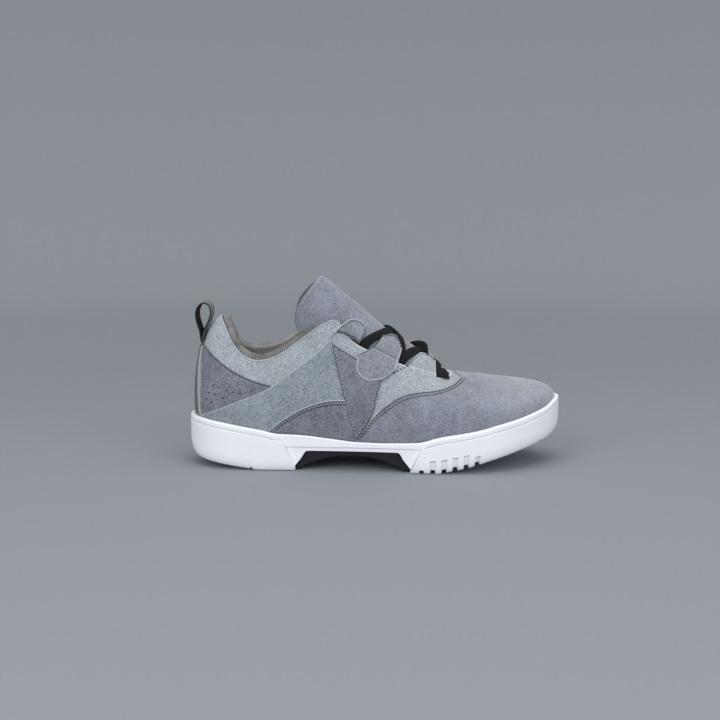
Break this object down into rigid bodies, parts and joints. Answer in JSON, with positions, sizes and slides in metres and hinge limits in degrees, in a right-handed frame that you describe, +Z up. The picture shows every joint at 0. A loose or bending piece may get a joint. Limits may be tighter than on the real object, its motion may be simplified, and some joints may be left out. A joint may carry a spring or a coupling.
{
  "type": "low-top shoe with a grind plate",
  "caption": "Low-top suede shoe with a padded collar, tongue, laces and pull loop on a white cup sole with a concave grind plate under the arch.",
  "frame": {"origin": "centre of the bounding box, on the floor plane under the sole", "axes": "+X to the toe, +Y to the medial side, +Z up"},
  "size_m": [0.301, 0.1077, 0.1514],
  "materials": {
    "insole_cloth": "matt",
    "lace_black": "flat weave, matt",
    "lining_mesh": "knit mesh, matt",
    "nubuck_light": "napped, matt",
    "nubuck_mid": "napped, matt",
    "plate_black": "satin",
    "sole_white": "satin, smooth",
    "suede_dark": "napped suede, matt",
    "webbing": "woven, matt"
  },
  "bodies": {
    "root": {"backstay": "nubuck_mid", "collar_lining": "lining_mesh", "counter_lateral": "suede_dark", "counter_medial": "suede_dark", "forefoot_cup": "sole_white", "grind_plate": "plate_black", "heel_cup": "sole_white", "insole": "insole_cloth", "lace_tab_1_lateral": "nubuck_mid", "lace_tab_1_medial": "nubuck_mid", "lace_tab_2_lateral": "nubuck_mid", "lace_tab_2_medial": "nubuck_mid", "lace_tab_3_lateral": "nubuck_mid", "lace_tab_3_medial": "nubuck_mid", "laces": "lace_black", "midsole": "sole_white", "mudguard_lateral": "suede_dark", "mudguard_medial": "suede_dark", "pull_loop": "webbing", "quarter_lateral": "nubuck_mid", "quarter_medial": "nubuck_mid", "side_stay_lateral": "suede_dark", "side_stay_medial": "suede_dark", "tongue": "suede_dark", "upper": "nubuck_light", "vamp": "suede_dark"}
  },
  "joints": []
}
